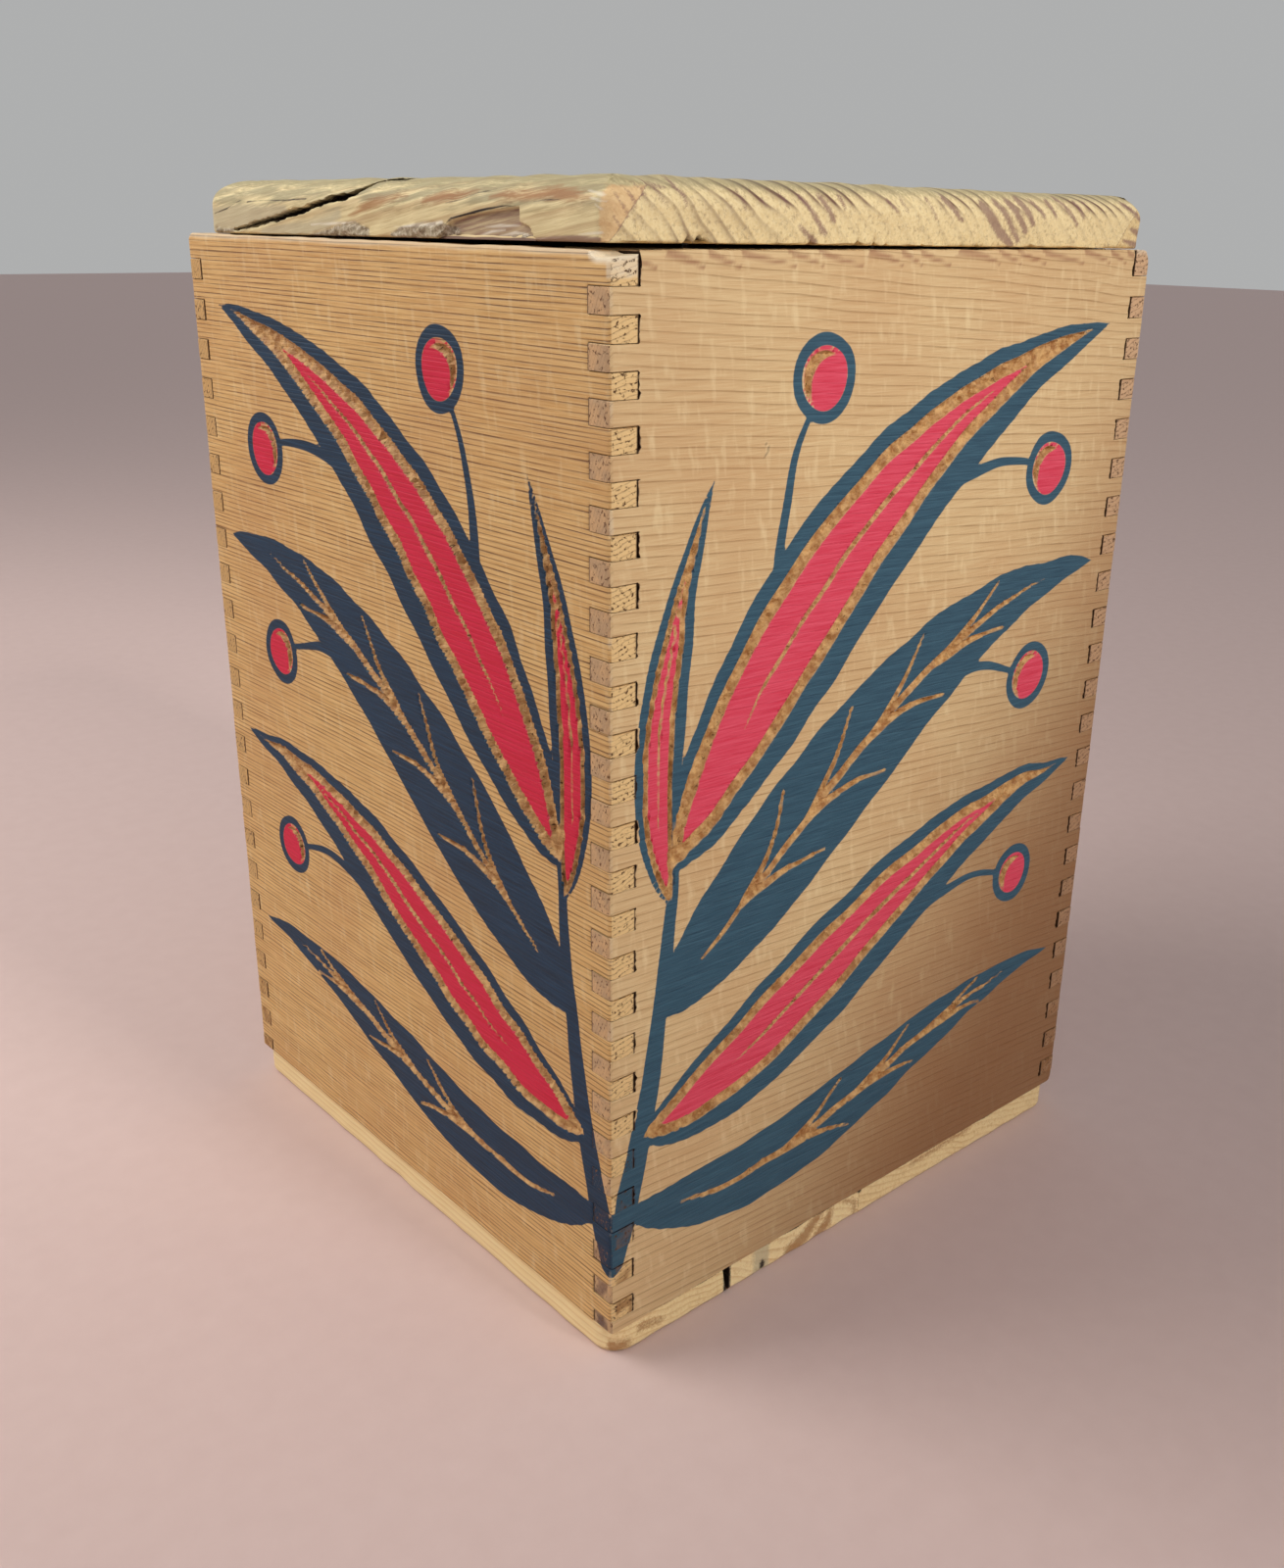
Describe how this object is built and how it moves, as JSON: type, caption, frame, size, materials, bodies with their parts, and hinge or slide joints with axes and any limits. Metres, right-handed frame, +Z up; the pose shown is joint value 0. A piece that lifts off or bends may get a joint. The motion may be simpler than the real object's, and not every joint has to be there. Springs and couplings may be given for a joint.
{
  "type": "lidded wooden box",
  "caption": "Tall square box of finger-jointed cedar boards, carved and painted with leaf sprays round one corner, on a nailed plank base under a loose lift-off lid of slant-glued boards.",
  "frame": {"origin": "on the ground under the middle of the base", "axes": "+Z up along the height, the longest extent; -Y out of the front wall and -X out of the left wall, so the carved corner in the picture is at -X -Y"},
  "size_m": [0.221, 0.221, 0.3305],
  "materials": {
    "wall_cedar": "planed straight-grained cedar, carved and painted blue-black and red on two faces, bare inside",
    "base_pine": "sawn softwood planks with eased edges, bare",
    "lid_pine": "sanded resinous softwood boards with rounded upper edges, bare",
    "nail_steel": "dull steel wire nails"
  },
  "bodies": {
    "box": {"front_wall": "wall_cedar", "left_wall": "wall_cedar", "right_wall": "wall_cedar", "back_wall": "wall_cedar", "base_plank_left": "base_pine", "base_plank_middle": "base_pine", "base_plank_right": "base_pine", "base_nails": "nail_steel"},
    "lid": {"lid_left_strip": "lid_pine", "lid_centre_board": "lid_pine", "lid_right_strip": "lid_pine", "lid_cleat_front": "lid_pine", "lid_cleat_back": "lid_pine", "cleat_nails": "nail_steel"}
  },
  "joints": [
    {"name": "lid_lift", "type": "slide", "parent": "box", "child": "lid", "axis": [0, 0, 1], "range_m": [0, 0.15]}
  ]
}
